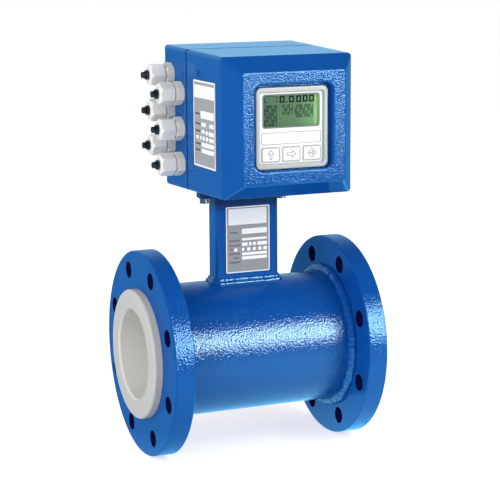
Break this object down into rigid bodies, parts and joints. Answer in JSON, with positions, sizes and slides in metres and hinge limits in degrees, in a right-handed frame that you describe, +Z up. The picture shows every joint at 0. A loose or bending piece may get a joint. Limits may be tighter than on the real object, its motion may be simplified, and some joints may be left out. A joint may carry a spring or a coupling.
{
  "type": "electromagnetic flow meter",
  "caption": "Flanged electromagnetic flow meter with a lined straight bore, a short neck and a boxy converter housing with display, keys and plugged cable glands.",
  "frame": {"origin": "on the pipe axis, half-way between the two flanges", "axes": "+X along the bore in the flow direction, +Y towards the back of the housing, +Z up through the neck"},
  "size_m": [0.267, 0.2548, 0.451],
  "materials": {
    "stainless_steel": "turned stainless steel",
    "brass_pillars": "turned brass",
    "black_rubber": "moulded rubber",
    "painted_steel": "glossy blue paint over steel",
    "coil_winding": "enamelled copper winding",
    "white_plastic": "moulded light grey plastic",
    "circuit_board": "glass-fibre laminate",
    "overlay_film": "printed film, no text",
    "painted_casting": "glossy blue paint over cast aluminium, fine orange peel",
    "gland_plastic": "moulded off-white plastic",
    "gland_nut_plastic": "moulded light grey plastic",
    "plug_plastic": "moulded black plastic",
    "silicone": "moulded silicone",
    "key_caps": "moulded key cap",
    "lcd_green": "green display cell",
    "clear_window": "clear pane",
    "liner_ptfe": "moulded fluoropolymer, satin",
    "soft_iron": "plain soft iron",
    "nameplate_foil": "printed silver plate, no text",
    "sheet_aluminium": "plain sheet",
    "component_plastic": "moulded plastic"
  },
  "bodies": {
    "meter": {"board_screws": "stainless_steel", "board_standoffs": "brass_pillars", "cable_grommet": "black_rubber", "coil_housing_shell": "painted_steel", "coil_lower": "coil_winding", "coil_upper": "coil_winding", "display_bezel": "white_plastic", "display_board": "circuit_board", "display_overlay": "overlay_film", "electrode_insulators": "white_plastic", "electrode_nuts": "stainless_steel", "electrodes": "stainless_steel", "front_housing": "painted_casting", "gland_body_1": "gland_plastic", "gland_body_2": "gland_plastic", "gland_body_3": "gland_plastic", "gland_body_4": "gland_plastic", "gland_body_5": "gland_plastic", "gland_body_6": "gland_plastic", "gland_nut_1": "gland_nut_plastic", "gland_nut_2": "gland_nut_plastic", "gland_nut_3": "gland_nut_plastic", "gland_nut_4": "gland_nut_plastic", "gland_nut_5": "gland_nut_plastic", "gland_nut_6": "gland_nut_plastic", "gland_plugs": "plug_plastic", "gland_seals": "black_rubber", "housing_gasket": "black_rubber", "housing_screws": "stainless_steel", "inlet_flange": "painted_steel", "key_dome_mat": "silicone", "lcd_module": "lcd_green", "lcd_window": "clear_window", "liner": "liner_ptfe", "magnetic_yoke": "soft_iron", "main_board": "circuit_board", "measuring_tube": "stainless_steel", "neck_column": "painted_steel", "neck_gasket": "black_rubber", "neck_head_plate": "painted_steel", "neck_nameplate": "nameplate_foil", "neck_screws": "stainless_steel", "neck_washers": "stainless_steel", "neck_weld_bead": "painted_steel", "outlet_flange": "painted_steel", "partition_sheet": "sheet_aluminium", "pole_shoe_lower": "soft_iron", "pole_shoe_upper": "soft_iron", "power_board": "circuit_board", "rear_housing": "painted_casting", "sensor_harness": "black_rubber", "shell_weld_beads": "painted_steel", "side_nameplate": "nameplate_foil", "smoothing_capacitors": "component_plastic", "terminal_blocks": "component_plastic", "terminal_board": "circuit_board", "transformer": "coil_winding"},
    "up_key": {"key_up": "key_caps"},
    "right_key": {"key_right": "key_caps"},
    "enter_key": {"key_enter": "key_caps"}
  },
  "joints": [
    {"name": "up_key_press", "type": "slide", "parent": "meter", "child": "up_key", "axis": [0, 1, 0], "range_m": [0, 0.0006], "stiffness_N_per_m": 1500},
    {"name": "right_key_press", "type": "slide", "parent": "meter", "child": "right_key", "axis": [0, 1, 0], "range_m": [0, 0.0006], "stiffness_N_per_m": 1500},
    {"name": "enter_key_press", "type": "slide", "parent": "meter", "child": "enter_key", "axis": [0, 1, 0], "range_m": [0, 0.0006], "stiffness_N_per_m": 1500}
  ]
}
